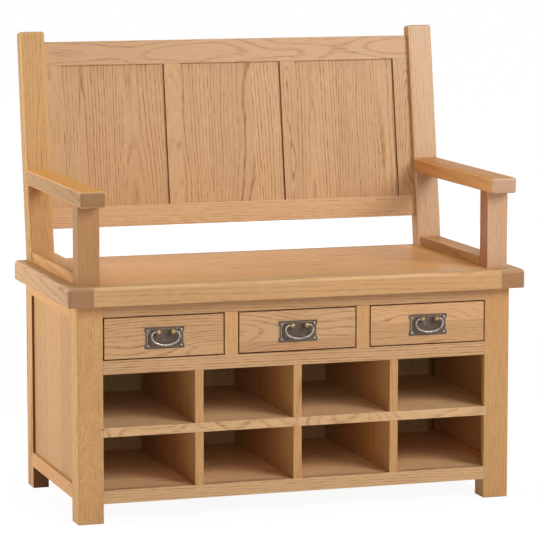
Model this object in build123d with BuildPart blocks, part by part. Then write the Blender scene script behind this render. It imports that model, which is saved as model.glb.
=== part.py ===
from build123d import *
import os
from math import atan2, cos, degrees, radians, sin, tan

# Oak hall bench: a raked frame-and-panel back and two open arms over a thick seat,
# three inset drawers with drop-bail handles, and two rows of shoe cubbies below.
# Millimetres. X runs along the bench, Y from front to back, Z up. The origin is on
# the floor, in the middle of the overall box.

os.makedirs("parts", exist_ok=True)

# Seat
seat_width = 1050.0
seat_depth = 500.0
seat_thickness = 42.0
seat_height = 520.0
seat_end_width = 58.0
seat_edge_width = 58.0
seat_tongue_length = 8.0
seat_tongue_thickness = 12.0
seat_groove_stop = 14.0
seat_round = 10.5

# Base frame
side_overhang = 27.0
front_overhang = 30.0
rear_overhang = 4.0
foot_height = 43.0
leg_width = 58.0
rear_leg_width = 37.0
leg_depth = 52.0
leg_lip = 16.0
leg_round = 2.0
side_frame_thickness = 24.0
side_rail_height = 32.0
side_rail_foot_gap = 50.0
side_panel_thickness = 12.0
panel_groove = 8.0
front_rail_thickness = 20.0
top_rail_height = 28.0
drawer_opening_height = 94.0
drawer_rail_height = 30.0
bottom_rail_height = 29.0
drawer_stile_width = 30.0
rear_rail_height = 40.0
rear_rail_thickness = 18.0
rear_rail_setback = 1.0
back_board_thickness = 6.0

# Shelves and dividers
shelf_thickness = 20.0
bottom_shelf_thickness = 18.0
dust_panel_thickness = 12.0
divider_thickness = 19.0
divider_count = 3
housing_depth = 3.0
housing_setback = 30.0
shelf_housing = 6.0
shelf_tongue = 6.0

# Drawers
drawer_count = 3
drawer_gap = 2.6
drawer_front_thickness = 20.0
drawer_side_thickness = 12.0
drawer_side_height = 78.0
drawer_back_height = 60.0
drawer_stop_depth = 25.7
drawer_bottom_thickness = 6.0
drawer_bottom_lift = 8.0
drawer_groove = 6.0
drawer_back_housing = 4.0
drawer_back_setback = 8.0
dovetail_lap = 6.0
dovetail_count = 3
dovetail_width = 17.0
dovetail_flare = 2.5
runner_bearing = 2.0
guide_width = 12.0
guide_height = 20.0
guide_clearance = 0.8
kicker_width = 40.0

# Raked back
post_width = 58.0
post_depth = 44.0
post_height = 516.0
post_setback = 6.0
post_front_rake = 9.0
post_rear_rake = 8.0
post_round = 6.0
back_inset = 14.0
back_frame_thickness = 20.0
back_gap = 74.0
back_lower_rail_height = 47.0
crest_drop = 23.0
crest_rail_height = 55.0
back_upright_width = 38.0
back_upright_round = 2.0
back_panel_thickness = 8.0
back_panel_groove = 9.0
back_panel_count = 3

# Arms
arm_height = 206.0
arm_thickness = 35.0
arm_overhang = 8.0
arm_round = 6.5
arm_post_width = 48.0
arm_post_depth = 46.0
arm_post_inset = 5.0
arm_post_setback = 32.0
arm_rail_height = 22.0

# Drop-bail handles
plate_width = 90.0
plate_height = 47.5
plate_thickness = 1.6
plate_chamfer = 0.5
plate_field_rise = 1.2
plate_field_inset = 3.5
plate_field_bevel = 45.0
plate_ear_height = 10.5
plate_notch = 2.5
plate_drop = 2.0
pin_radius = 2.5
pin_height = 2.2
pin_round = 1.4
pin_pocket = 3.8
pin_inset = 7.0
ball_radius = 6.5
ball_spacing = 32.5
ball_standoff = 10.0
ball_rise = 14.5
ball_neck_radius = 3.4
shank_radius = 2.5
nut_radius = 5.0
nut_sides = 6
nut_thickness = 4.0
bail_radius = 2.3
bail_half_width = 31.5
bail_drop = 29.2
bail_shoulder = 9.0
bail_flank = 16.5

# Joints and fits
tenon_length = 22.0
tenon_thickness = 8.0
tenon_shoulder = 4.0
stub_tenon = 10.0
seat_mortise = 30.0
post_tenon_depth = 20.0
arm_tenon = 18.0
arm_rail_tenon = 12.0
joint_clearance = 0.1
panel_clearance = 0.15
panel_edge_gap = 1.0
running_clearance = 0.3
bail_pin_clearance = 0.05
tenon_margin = 1.0
overcut = 1.0
arris = 1.0

# Levels
base_top = seat_height - seat_thickness
top_rail_low = base_top - top_rail_height
drawer_floor = top_rail_low - drawer_opening_height
cubby_ceiling = drawer_floor - drawer_rail_height
bottom_shelf_top = foot_height + bottom_rail_height
bottom_shelf_low = bottom_shelf_top - bottom_shelf_thickness
cubby_height = (cubby_ceiling - bottom_shelf_top - shelf_thickness) / 2
shelf_low = bottom_shelf_top + cubby_height
shelf_top = shelf_low + shelf_thickness
dust_panel_top = cubby_ceiling + dust_panel_thickness
side_rail_low = side_rail_foot_gap
side_rail_top = base_top - side_rail_height

# The raked post in side view, measured back from the seat's front edge
front_slope = tan(radians(post_front_rake))
rear_slope = tan(radians(post_rear_rake))
rear_cos = cos(radians(post_rear_rake))
rear_sin = sin(radians(post_rear_rake))
post_rear_reach = seat_depth - post_setback
post_front_reach = post_rear_reach - post_depth
post_top_run = post_depth + post_height * (rear_slope - front_slope)
post_top_depth = post_top_run / (rear_cos + rear_sin * rear_slope)
post_rear_height = post_height - post_top_depth * rear_sin
post_top_reach = post_rear_reach + post_rear_height * rear_slope
rear_reach = post_top_reach - post_round * (rear_cos + rear_sin - 1)

# Places along Y and X
seat_front = (arm_overhang - rear_reach) / 2
seat_rear = seat_front + seat_depth
base_front = seat_front + front_overhang
base_rear = seat_rear - rear_overhang
leg_rear = base_front + leg_depth
rear_leg_front = base_rear - leg_depth
rail_rear = base_front + front_rail_thickness
back_board_rear = base_rear - rear_rail_thickness - rear_rail_setback
back_board_front = back_board_rear - back_board_thickness
post_front = seat_front + post_front_reach
post_rear = seat_front + post_rear_reach
half_seat = seat_width / 2
half_base = half_seat - side_overhang
leg_inner = half_base - leg_width
rear_leg_inner = half_base - rear_leg_width
side_frame_inner = half_base - side_frame_thickness
side_panel_recess = (side_frame_thickness - side_panel_thickness) / 2
post_inner = half_base - post_width
seat_end_inner = half_seat - seat_end_width

# Drawer openings and cubbies
stile_count = drawer_count - 1
opening_width = (2 * leg_inner - stile_count * drawer_stile_width) / drawer_count
opening_pitch = opening_width + drawer_stile_width
drawer_width = opening_width - 2 * drawer_gap
drawer_height = drawer_opening_height - 2 * drawer_gap
drawer_low = drawer_floor + drawer_gap
runner_top = drawer_low - running_clearance
drawer_length = back_board_front - drawer_stop_depth - running_clearance - base_front
cubby_width = (2 * leg_inner - divider_count * divider_thickness) / (divider_count + 1)
divider_pitch = cubby_width + divider_thickness


def about(middle, size):
    """The span of a size centred on a middle."""
    return (middle - size / 2, middle + size / 2)


def row(count, pitch):
    """Centres of a row of equal pieces, symmetrical about the middle of the bench."""
    return [(i - (count - 1) / 2) * pitch for i in range(count)]


def board(x, y, z, mode=Mode.ADD):
    """A squared piece of wood, or a cut of that shape, between three spans."""
    with Locations(((x[0] + x[1]) / 2, (y[0] + y[1]) / 2, (z[0] + z[1]) / 2)):
        Box(x[1] - x[0], y[1] - y[0], z[1] - z[0], mode=mode)


def mortise(x, y, z, room=joint_clearance):
    """The hole for a tenon of these spans, with room all round it."""
    spans = [(low - room, high + room) for low, high in (x, y, z)]
    board(*spans, mode=Mode.SUBTRACT)


def save(piece, name):
    piece.part.label = name
    export_step(piece.part, f"parts/{name}.step")


def save_pair(piece, name):
    """Writes a right-hand piece, and its mirror image for the left-hand side."""
    save(piece, name.format("right"))
    with BuildPart() as twin:
        mirror(piece.part, about=Plane.YZ)
    save(twin, name.format("left"))


# Tenons that two pieces share: the right-hand side of the bench
side_tenon_x = about(half_base - side_frame_thickness / 2, tenon_thickness)
side_panel_x = (half_base - side_panel_recess - side_panel_thickness, half_base - side_panel_recess)
side_panel_y = (leg_rear - panel_groove, rear_leg_front + panel_groove)
side_panel_z = (side_rail_low + side_rail_height - panel_groove, side_rail_top + panel_groove)
low_side_tenon_z = (side_rail_low + tenon_shoulder, side_panel_z[0] - tenon_margin)
top_side_tenon_z = (side_panel_z[1] + tenon_margin, base_top - tenon_shoulder)
front_tenon_x = (leg_inner, leg_inner + tenon_length)
front_tenon_y = (base_front + tenon_shoulder, base_front + tenon_shoulder + tenon_thickness)
front_rail_spans = {
    "front_top_rail": (top_rail_low, base_top),
    "drawer_rail": (cubby_ceiling, drawer_floor),
    "bottom_rail": (foot_height, bottom_shelf_top),
}
rear_rail_spans = {
    "rear_top_rail": (base_top - rear_rail_height, base_top),
    "rear_bottom_rail": (bottom_shelf_low, bottom_shelf_low + rear_rail_height),
}
rear_tenon_x = (rear_leg_inner, rear_leg_inner + tenon_length)
rear_tenon_y = about(back_board_rear + rear_rail_thickness / 2, tenon_thickness)


def inside(span, margin=tenon_shoulder):
    """A span drawn in by a shoulder at both ends."""
    return (span[0] + margin, span[1] - margin)


def side_mortises(y_front, y_rear):
    """Sockets for both side rails, and the groove for the side panel between them."""
    mortise(side_tenon_x, (y_front, y_rear), low_side_tenon_z)
    mortise(side_tenon_x, (y_front, y_rear), top_side_tenon_z)
    mortise(side_panel_x, side_panel_y, side_panel_z, panel_clearance)


def leg_block(x, y):
    """A leg before its joints are cut, with eased long edges and a relieved foot."""
    with BuildSketch() as plan:
        with Locations(((x[0] + x[1]) / 2, (y[0] + y[1]) / 2)):
            RectangleRounded(x[1] - x[0], y[1] - y[0], leg_round)
    leg = extrude(plan.sketch, amount=base_top)
    chamfer(leg.faces().sort_by(Axis.Z)[0].edges(), arris)


# Front legs, cut away behind the lip so that the end cubbies reach the side panels
with BuildPart() as front_leg:
    leg_block((leg_inner, half_base), (base_front, leg_rear))
    board(
        (leg_inner - overcut, side_frame_inner),
        (base_front + leg_lip, leg_rear + overcut),
        (bottom_shelf_low, dust_panel_top),
        mode=Mode.SUBTRACT,
    )
    side_mortises(leg_rear - tenon_length, leg_rear)
    for span in front_rail_spans.values():
        mortise(front_tenon_x, front_tenon_y, inside(span))
    mortise(
        (leg_inner - overcut, leg_inner + shelf_housing),
        (base_front - overcut, base_front + leg_lip + overcut),
        (shelf_low + joint_clearance, shelf_top),
    )
save_pair(front_leg, "front_{}_leg")

# Rear legs, rebated for the back board
with BuildPart() as rear_leg:
    leg_block((rear_leg_inner, half_base), (rear_leg_front, base_rear))
    board(
        (rear_leg_inner - overcut, side_frame_inner),
        (rear_leg_front - overcut, back_board_rear),
        (bottom_shelf_low, base_top + overcut),
        mode=Mode.SUBTRACT,
    )
    side_mortises(rear_leg_front, rear_leg_front + tenon_length)
    for span in rear_rail_spans.values():
        mortise(rear_tenon_x, rear_tenon_y, inside(span))
save_pair(rear_leg, "rear_{}_leg")


def side_rail(z, tenon_z):
    """A side rail with a tenon at each end and a groove for the panel."""
    board((side_frame_inner, half_base), (leg_rear, rear_leg_front), z)
    board(side_tenon_x, (leg_rear - tenon_length, rear_leg_front + tenon_length), tenon_z)
    mortise(side_panel_x, side_panel_y, side_panel_z, panel_clearance)


with BuildPart() as side_bottom_rail:
    side_rail((side_rail_low, side_rail_low + side_rail_height), low_side_tenon_z)
save_pair(side_bottom_rail, "{}_side_bottom_rail")

with BuildPart() as side_top_rail:
    side_rail((side_rail_top, base_top), top_side_tenon_z)
save_pair(side_top_rail, "{}_side_top_rail")

# Side panels stand in the groove of the bottom rail, with room to swell at the other edges
with BuildPart() as side_panel:
    board(
        side_panel_x,
        inside(side_panel_y, panel_edge_gap),
        (side_panel_z[0] - panel_clearance, side_panel_z[1] - panel_edge_gap),
    )
save_pair(side_panel, "{}_side_panel")

# Front rails between the legs
drawer_stile_x = row(stile_count, opening_pitch)
stile_tenon_y = about(base_front + front_rail_thickness / 2, tenon_thickness)
stile_tenon_z = (drawer_floor - stub_tenon, top_rail_low + stub_tenon)
divider_x = row(divider_count, divider_pitch)
drawer_x = row(drawer_count, opening_pitch)


def shelf_tongue_spans(z):
    """The tongue on the front edge of a board that meets a front rail."""
    reach = leg_inner - stub_tenon
    return (-reach, reach), (rail_rear - shelf_tongue, rail_rear), about(sum(z) / 2, shelf_tongue)


bottom_shelf_z = (bottom_shelf_low, bottom_shelf_top)
dust_panel_z = (cubby_ceiling, dust_panel_top)

for rail_name, rail_span in front_rail_spans.items():
    with BuildPart() as front_rail:
        board((-leg_inner, leg_inner), (base_front, rail_rear), rail_span)
        front_edges = front_rail.faces().sort_by(Axis.Y)[0].edges().filter_by(Axis.X)
        fillet(front_edges, arris)
        tenon_reach = leg_inner + tenon_length
        board((-tenon_reach, tenon_reach), front_tenon_y, inside(rail_span))
        for x in drawer_stile_x:
            mortise(about(x, drawer_stile_width - 2 * tenon_shoulder), stile_tenon_y, stile_tenon_z)
        mortise(*shelf_tongue_spans(bottom_shelf_z))
        mortise(*shelf_tongue_spans(dust_panel_z))
    save(front_rail, rail_name)

# Stiles between the drawers
with BuildPart() as drawer_stiles:
    for x in drawer_stile_x:
        board(about(x, drawer_stile_width), (base_front, rail_rear), (drawer_floor, top_rail_low))
        board(about(x, drawer_stile_width - 2 * tenon_shoulder), stile_tenon_y, stile_tenon_z)
save(drawer_stiles, "drawer_stiles")

# Rails across the back
for rail_name, rail_span in rear_rail_spans.items():
    with BuildPart() as rear_rail:
        rail_y = (back_board_rear, back_board_rear + rear_rail_thickness)
        board((-rear_leg_inner, rear_leg_inner), rail_y, rail_span)
        tenon_reach = rear_leg_inner + tenon_length
        board((-tenon_reach, tenon_reach), rear_tenon_y, inside(rail_span))
    save(rear_rail, rail_name)

with BuildPart() as back_board:
    board(
        (-side_frame_inner, side_frame_inner),
        (back_board_front, back_board_rear),
        (bottom_shelf_low, base_top),
    )
save(back_board, "back_board")

# Dividers between the shelves, each with a tongue top and bottom, stopped short of the front
lower_divider_z = (bottom_shelf_top, shelf_low)
upper_divider_z = (shelf_top, cubby_ceiling)
tongue_y = (base_front + housing_setback, back_board_front)


def tongue_z(span):
    return (span[0] - housing_depth, span[1] + housing_depth)


with BuildPart() as shoe_dividers:
    for x in divider_x:
        for span in (lower_divider_z, upper_divider_z):
            board(about(x, divider_thickness), (base_front, back_board_front), span)
    front_edges = shoe_dividers.faces().group_by(Axis.Y)[0].edges().filter_by(Axis.Z)
    fillet(front_edges, arris)
    for x in divider_x:
        for span in (lower_divider_z, upper_divider_z):
            board(about(x, divider_thickness), tongue_y, tongue_z(span))
save(shoe_dividers, "shoe_dividers")


def divider_housings():
    for x in divider_x:
        for span in (lower_divider_z, upper_divider_z):
            mortise(about(x, divider_thickness), tongue_y, tongue_z(span))


# The middle shelf runs out to the side panels between the legs and is let into the front legs
shelf_reach = half_base - side_panel_recess - side_panel_thickness - panel_clearance


def shelf_plan(front, reach_at_front):
    """Plan of a shelf that is notched round the legs."""
    with Locations((0, (leg_rear + rear_leg_front) / 2)):
        Rectangle(2 * shelf_reach, rear_leg_front - leg_rear)
    with Locations((0, (front + back_board_front) / 2)):
        Rectangle(2 * reach_at_front, back_board_front - front)
    inner_front = max(front, base_front + leg_lip)
    with Locations((0, (inner_front + back_board_front) / 2)):
        Rectangle(2 * side_frame_inner, back_board_front - inner_front)


with BuildPart() as middle_shelf:
    with BuildSketch(Plane.XY.offset(shelf_low)):
        shelf_plan(base_front, leg_inner)
    extrude(amount=shelf_thickness)
    front_edges = middle_shelf.faces().sort_by(Axis.Y)[0].edges().filter_by(Axis.X)
    fillet(front_edges, arris)
    board(
        (-leg_inner - shelf_housing, leg_inner + shelf_housing),
        (base_front + arris, base_front + leg_lip),
        (shelf_low, shelf_top),
    )
    divider_housings()
save(middle_shelf, "middle_shelf")

with BuildPart() as bottom_shelf:
    board((-side_frame_inner, side_frame_inner), (rail_rear, back_board_front), bottom_shelf_z)
    board(*shelf_tongue_spans(bottom_shelf_z))
    divider_housings()
save(bottom_shelf, "bottom_shelf")

with BuildPart() as dust_panel:
    with BuildSketch(Plane.XY.offset(cubby_ceiling)):
        shelf_plan(rail_rear, leg_inner)
    extrude(amount=dust_panel_thickness)
    board(*shelf_tongue_spans(dust_panel_z))
    divider_housings()
save(dust_panel, "dust_panel")

# Runners carry the drawer sides, with a guide strip between neighbours and a stop at the rear
half_opening = opening_width / 2
side_inner_edge = half_opening - drawer_gap - drawer_side_thickness - runner_bearing
guide_edge = half_opening - drawer_gap + guide_clearance
guide_top = runner_top + guide_height
with BuildPart() as drawer_runners:
    runner_y = (rail_rear, back_board_front)
    stop_y = (back_board_front - drawer_stop_depth, back_board_front)
    for x in drawer_stile_x:
        half_runner = opening_pitch / 2 - side_inner_edge
        half_guide = opening_pitch / 2 - guide_edge
        board(about(x, 2 * half_runner), runner_y, (dust_panel_top, runner_top))
        board(about(x, 2 * half_guide), runner_y, (dust_panel_top, guide_top))
        board(about(x, 2 * half_runner), stop_y, (dust_panel_top, guide_top))
    outer_y = (leg_rear, back_board_front)
    last = drawer_x[-1]
    for hand in (-1, 1):
        edge = sorted((hand * (last + side_inner_edge), hand * (leg_inner + guide_width)))
        guide = sorted((hand * (last + guide_edge), hand * (leg_inner + guide_width)))
        board(edge, outer_y, (dust_panel_top, runner_top))
        board(guide, outer_y, (dust_panel_top, guide_top))
        board(edge, stop_y, (dust_panel_top, guide_top))
save(drawer_runners, "drawer_runners")

# Kickers under the seat keep an open drawer from tipping
with BuildPart() as drawer_kickers:
    for x in drawer_x:
        board(about(x, kicker_width), (rail_rear, back_board_front), (top_rail_low, base_top))
save(drawer_kickers, "drawer_kickers")

# Seat: a field with cross-grain end boards and a front strip, tongued and grooved
seat_z = (base_top, seat_height)
seat_tongue_z = about(base_top + seat_thickness / 2, seat_tongue_thickness)
seat_tongue_y = (seat_front + seat_groove_stop, seat_rear - seat_groove_stop)
strip_rear = seat_front + seat_edge_width
tongue_reach = seat_end_inner + seat_tongue_length
post_tenon_x = (tongue_reach + tenon_shoulder, half_base - 2 * tenon_shoulder)
post_tenon_y = about((post_front + post_rear) / 2, post_tenon_depth)
seat_mortise_z = (seat_height - seat_mortise, seat_height)
arm_post_x = (half_base - arm_post_inset - arm_post_width, half_base - arm_post_inset)
arm_post_y = (
    seat_front + arm_post_setback,
    seat_front + arm_post_setback + arm_post_depth,
)
arm_tenon_x = (tongue_reach + tenon_shoulder, arm_post_x[1] - tenon_shoulder)
arm_tenon_y = about(sum(arm_post_y) / 2, post_tenon_depth)

with BuildPart() as seat_end:
    board((seat_end_inner, half_seat), (seat_front, seat_rear), seat_z)
    corners = seat_end.faces().sort_by(Axis.X)[-1].edges().filter_by(Axis.Z)
    fillet(corners, seat_round)
    rounded = seat_end.faces().sort_by(Axis.Z)[-1].edges() - seat_end.faces().sort_by(Axis.X)[0].edges()
    fillet(rounded, seat_round - arris)
    mortise((seat_end_inner, tongue_reach), seat_tongue_y, seat_tongue_z)
    mortise(post_tenon_x, post_tenon_y, seat_mortise_z)
    mortise(arm_tenon_x, arm_tenon_y, seat_mortise_z)
save_pair(seat_end, "seat_{}_end")

with BuildPart() as seat_front_edge:
    board((-seat_end_inner, seat_end_inner), (seat_front, strip_rear), seat_z)
    top_front = seat_front_edge.edges().filter_by(Axis.X).group_by(Axis.Z)[-1].sort_by(Axis.Y)[0]
    fillet(top_front, seat_round - arris)
    board((-tongue_reach, tongue_reach), (seat_tongue_y[0], strip_rear), seat_tongue_z)
    mortise(
        (-seat_end_inner - seat_tongue_length, seat_end_inner + seat_tongue_length),
        (strip_rear - seat_tongue_length, strip_rear + overcut),
        seat_tongue_z,
    )
save(seat_front_edge, "seat_front_edge")

with BuildPart() as seat_panel:
    board((-seat_end_inner, seat_end_inner), (strip_rear, seat_rear), seat_z)
    top_rear = seat_panel.edges().filter_by(Axis.X).group_by(Axis.Z)[-1].sort_by(Axis.Y)[-1]
    fillet(top_rear, seat_round - arris)
    board((-tongue_reach, tongue_reach), (strip_rear + tenon_margin, seat_tongue_y[1]), seat_tongue_z)
    board(
        (-seat_end_inner, seat_end_inner),
        (strip_rear - seat_tongue_length, strip_rear),
        seat_tongue_z,
    )
save(seat_panel, "seat_panel")

# The raked back is drawn on its own face: x along the bench, y up the rake, z to the front
rake = radians(post_front_rake)
post_face = Plane(
    origin=(0, post_front, seat_height), x_dir=(1, 0, 0), z_dir=(0, -cos(rake), sin(rake))
)
back_face = post_face.offset(-back_inset)
post_length = post_height / cos(rake)
crest_top = post_length - crest_drop
crest_low = crest_top - crest_rail_height
lower_rail_top = back_gap + back_lower_rail_height
back_z = (-back_frame_thickness, 0)
back_panel_z = about(-back_frame_thickness / 2, back_panel_thickness)
back_rail_spans = {"back_lower_rail": (back_gap, lower_rail_top), "crest_rail": (crest_low, crest_top)}
rail_tenon_spans = {
    "back_lower_rail": (back_gap + tenon_shoulder, lower_rail_top - back_panel_groove - tenon_margin),
    "crest_rail": (crest_low + back_panel_groove + tenon_margin, crest_top - tenon_shoulder),
}
back_tenon_reach = post_inner + tenon_length
upright_groove_y = (lower_rail_top - back_panel_groove, crest_low + back_panel_groove)
upright_count = back_panel_count + 1
panel_width = (2 * post_inner - upright_count * back_upright_width) / back_panel_count
upright_x = row(upright_count, panel_width + back_upright_width)
panel_x = row(back_panel_count, panel_width + back_upright_width)


def panel_grooves():
    """Grooves in the rails and uprights for the three back panels."""
    for x in panel_x:
        groove_x = about(x, panel_width + 2 * back_panel_groove)
        mortise(groove_x, upright_groove_y, back_panel_z, panel_clearance)


def upright_sockets():
    for x in upright_x:
        mortise(about(x, back_upright_width), upright_groove_y, back_panel_z, panel_clearance)


for rail_name, rail_span in back_rail_spans.items():
    with BuildPart() as back_rail:
        with Locations(back_face):
            board((-post_inner, post_inner), rail_span, back_z)
        long_edges = back_rail.edges().filter_by(Axis.X)
        fillet(long_edges, arris)
        with Locations(back_face):
            board(
                (-back_tenon_reach, back_tenon_reach),
                rail_tenon_spans[rail_name],
                about(-back_frame_thickness / 2, tenon_thickness),
            )
            panel_grooves()
            upright_sockets()
    save(back_rail, rail_name)

# Stiles and muntins, eased beside the panels, with stub tenons that fill the panel groove
with BuildPart() as back_uprights:
    with Locations(back_face):
        for x in upright_x:
            board(about(x, back_upright_width), (lower_rail_top, crest_low), back_z)
    front_edges = back_uprights.faces().group_by(Axis(back_face.origin, back_face.z_dir))[-1].edges()
    tall_edges = front_edges.filter_by(Axis(back_face.origin, back_face.y_dir))
    fillet(tall_edges.sort_by(Axis.X)[1:-1], back_upright_round)
    with Locations(back_face):
        for x in upright_x:
            board(about(x, back_upright_width), upright_groove_y, back_panel_z)
        for x in panel_x:
            groove_x = about(x, panel_width + 2 * back_panel_groove)
            mortise(groove_x, (lower_rail_top, crest_low), back_panel_z, panel_clearance)
            mortise(groove_x, inside(upright_groove_y, -overcut), back_panel_z, panel_clearance)
save(back_uprights, "back_uprights")

with BuildPart() as back_panels:
    with Locations(back_face):
        for x in panel_x:
            board(
                inside(about(x, panel_width + 2 * back_panel_groove), panel_edge_gap),
                (upright_groove_y[0] - panel_clearance, upright_groove_y[1] - panel_edge_gap),
                back_panel_z,
            )
save(back_panels, "back_panels")

# Arms: their rear ends are cut to the rake of the posts
arm_x = (post_inner, half_base)
arm_top = seat_height + arm_height
arm_low = arm_top - arm_thickness
arm_front = seat_front - arm_overhang
arm_rail_top = seat_height + arm_rail_height
arm_back_tenon_x = inside(arm_x, 4 * tenon_shoulder)
arm_back_tenon_z = inside((arm_low, arm_top), 2 * tenon_shoulder)
narrow_tenon_x = about(sum(arm_post_x) / 2, arm_post_width / 2)
arm_rail_tenon_z = inside((seat_height, arm_rail_top), tenon_shoulder)


def post_face_y(z):
    """How far back the raked front of a post is at a height."""
    return post_front + (z - seat_height) * front_slope


def raked_bar(x, y_front, z):
    """A level bar whose rear end meets the raked front of a post."""
    with BuildSketch(Plane.YZ.offset(x[0])) as side_view:
        with BuildLine():
            Polyline(
                (y_front, z[0]),
                (post_face_y(z[0]), z[0]),
                (post_face_y(z[1]), z[1]),
                (y_front, z[1]),
                close=True,
            )
        make_face()
    extrude(side_view.sketch, amount=x[1] - x[0])


def arm_back_tenon_y(z):
    """A level tenon from the arm into the post, at the mean height of its span."""
    face = post_face_y(sum(z) / 2)
    return (face - arm_tenon, face + arm_tenon)


arm_rail_back_y = (post_face_y(seat_height) - arm_rail_tenon, post_face_y(seat_height) + arm_rail_tenon)
arm_rail_front_y = (arm_post_y[1] - arm_rail_tenon, arm_post_y[1])
arm_post_top_z = (arm_low, arm_low + arm_tenon)

with BuildPart() as armrest:
    raked_bar(arm_x, arm_front, (arm_low, arm_top))
    eased = armrest.edges() - armrest.faces().sort_by(Axis.Y)[-1].edges()
    fillet(eased, arm_round)
    board(arm_back_tenon_x, arm_back_tenon_y(arm_back_tenon_z), arm_back_tenon_z)
    mortise(narrow_tenon_x, arm_tenon_y, arm_post_top_z)
save_pair(armrest, "{}_armrest")

with BuildPart() as arm_post:
    with BuildSketch(Plane.XY.offset(seat_height)):
        with Locations((sum(arm_post_x) / 2, sum(arm_post_y) / 2)):
            RectangleRounded(arm_post_width, arm_post_depth, leg_round)
    extrude(amount=arm_low - seat_height)
    board(arm_tenon_x, arm_tenon_y, seat_mortise_z)
    board(narrow_tenon_x, arm_tenon_y, arm_post_top_z)
    mortise(narrow_tenon_x, arm_rail_front_y, arm_rail_tenon_z)
save_pair(arm_post, "{}_arm_post")

with BuildPart() as arm_rail:
    raked_bar(arm_post_x, arm_post_y[1], (seat_height, arm_rail_top))
    top_edges = arm_rail.faces().sort_by(Axis.Z)[-1].edges().filter_by(Axis.Y)
    fillet(top_edges, arris)
    board(narrow_tenon_x, (arm_rail_front_y[0], arm_rail_back_y[1]), arm_rail_tenon_z)
save_pair(arm_rail, "{}_arm_rail")

# Back posts: raked in front, a little less behind, so that they taper towards the top
with BuildPart() as back_post:
    top_front_y = post_face_y(seat_height + post_height)
    with BuildSketch(Plane.YZ.offset(post_inner)):
        with BuildLine():
            Polyline(
                (post_front, seat_height),
                (post_rear, seat_height),
                (seat_front + post_top_reach, seat_height + post_rear_height),
                (top_front_y, seat_height + post_height),
                close=True,
            )
        make_face()
    extrude(amount=post_width)
    eased = back_post.edges() - back_post.faces().sort_by(Axis.Z)[0].edges()
    fillet(eased, post_round)
    board(post_tenon_x, post_tenon_y, seat_mortise_z)
    mortise(arm_back_tenon_x, arm_back_tenon_y(arm_back_tenon_z), arm_back_tenon_z)
    mortise(narrow_tenon_x, arm_rail_back_y, arm_rail_tenon_z)
    with Locations(back_face):
        for span in rail_tenon_spans.values():
            mortise(
                (post_inner, back_tenon_reach),
                span,
                about(-back_frame_thickness / 2, tenon_thickness),
            )
save_pair(back_post, "{}_back_post")

# Drawers
drawer_box_y = (base_front + dovetail_lap, base_front + drawer_length)
drawer_bottom_z = (
    drawer_low + drawer_bottom_lift,
    drawer_low + drawer_bottom_lift + drawer_bottom_thickness,
)
drawer_back_y = (
    drawer_box_y[1] - drawer_back_setback - drawer_side_thickness,
    drawer_box_y[1] - drawer_back_setback,
)
drawer_back_z = (drawer_bottom_z[1], drawer_bottom_z[1] + drawer_back_height)
front_inside = base_front + drawer_front_thickness
half_drawer = drawer_width / 2
side_inner = half_drawer - drawer_side_thickness
bottom_x = (-side_inner - drawer_groove + panel_edge_gap, side_inner + drawer_groove - panel_edge_gap)
bottom_y = (front_inside - drawer_groove + panel_edge_gap, drawer_box_y[1])
dovetail_pitch = drawer_side_height / dovetail_count
plate_z = drawer_low + drawer_height / 2 - plate_drop
plate_face = base_front - plate_thickness - plate_field_rise
ball_z = plate_z + ball_rise
ball_y = plate_face - ball_standoff


def dovetails(room=0.0):
    """Outline of the tails on the front end of a drawer side, seen from the side."""
    root = drawer_box_y[0] + drawer_front_thickness - dovetail_lap
    with BuildSketch(Plane.YZ.offset(side_inner - room)) as tails:
        for i in range(dovetail_count):
            middle = drawer_low + (i + 0.5) * dovetail_pitch
            half_root = dovetail_width / 2 - dovetail_flare + room
            half_tip = dovetail_width / 2 + room
            with BuildLine():
                Polyline(
                    (root + room, middle - half_root),
                    (root + room, middle + half_root),
                    (drawer_box_y[0] - room, middle + half_tip),
                    (drawer_box_y[0] - room, middle - half_tip),
                    close=True,
                )
            make_face()
    return tails.sketch


def bottom_groove(x, y):
    """Groove for the drawer bottom: tight below, with a little room above."""
    board(x, y, (drawer_bottom_z[0], drawer_bottom_z[1] + panel_clearance), mode=Mode.SUBTRACT)


with BuildPart() as drawer_front:
    front_z = (drawer_low, drawer_low + drawer_height)
    board((-half_drawer, half_drawer), (base_front, front_inside), front_z)
    eased = drawer_front.faces().sort_by(Axis.Y)[0].edges()
    fillet(eased, arris)
    socket_depth = drawer_side_thickness + 2 * joint_clearance
    sockets = extrude(dovetails(joint_clearance), amount=socket_depth, mode=Mode.SUBTRACT)
    mirror(sockets, about=Plane.YZ, mode=Mode.SUBTRACT)
    bottom_groove(inside(bottom_x, -panel_edge_gap), (front_inside - drawer_groove, front_inside + overcut))
    for x in row(2, ball_spacing):
        with Locations(Plane(origin=(x, base_front, ball_z), z_dir=(0, 1, 0))):
            Cylinder(
                shank_radius + joint_clearance,
                drawer_front_thickness,
                align=(Align.CENTER, Align.CENTER, Align.MIN),
                mode=Mode.SUBTRACT,
            )

with BuildPart() as drawer_side:
    side_z = (drawer_low, drawer_low + drawer_side_height)
    board((side_inner, half_drawer), (front_inside, drawer_box_y[1]), side_z)
    extrude(dovetails(), amount=drawer_side_thickness)
    groove_y = (front_inside - drawer_groove, drawer_box_y[1] + overcut)
    bottom_groove((side_inner - overcut, side_inner + drawer_groove), groove_y)
    mortise((side_inner - overcut, side_inner + drawer_back_housing), drawer_back_y, drawer_back_z)

with BuildPart() as drawer_sides:
    add(drawer_side.part)
    mirror(drawer_side.part, about=Plane.YZ)

with BuildPart() as drawer_back:
    back_reach = side_inner + drawer_back_housing
    board((-back_reach, back_reach), drawer_back_y, drawer_back_z)

with BuildPart() as drawer_bottom:
    board(bottom_x, bottom_y, drawer_bottom_z)

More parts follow.
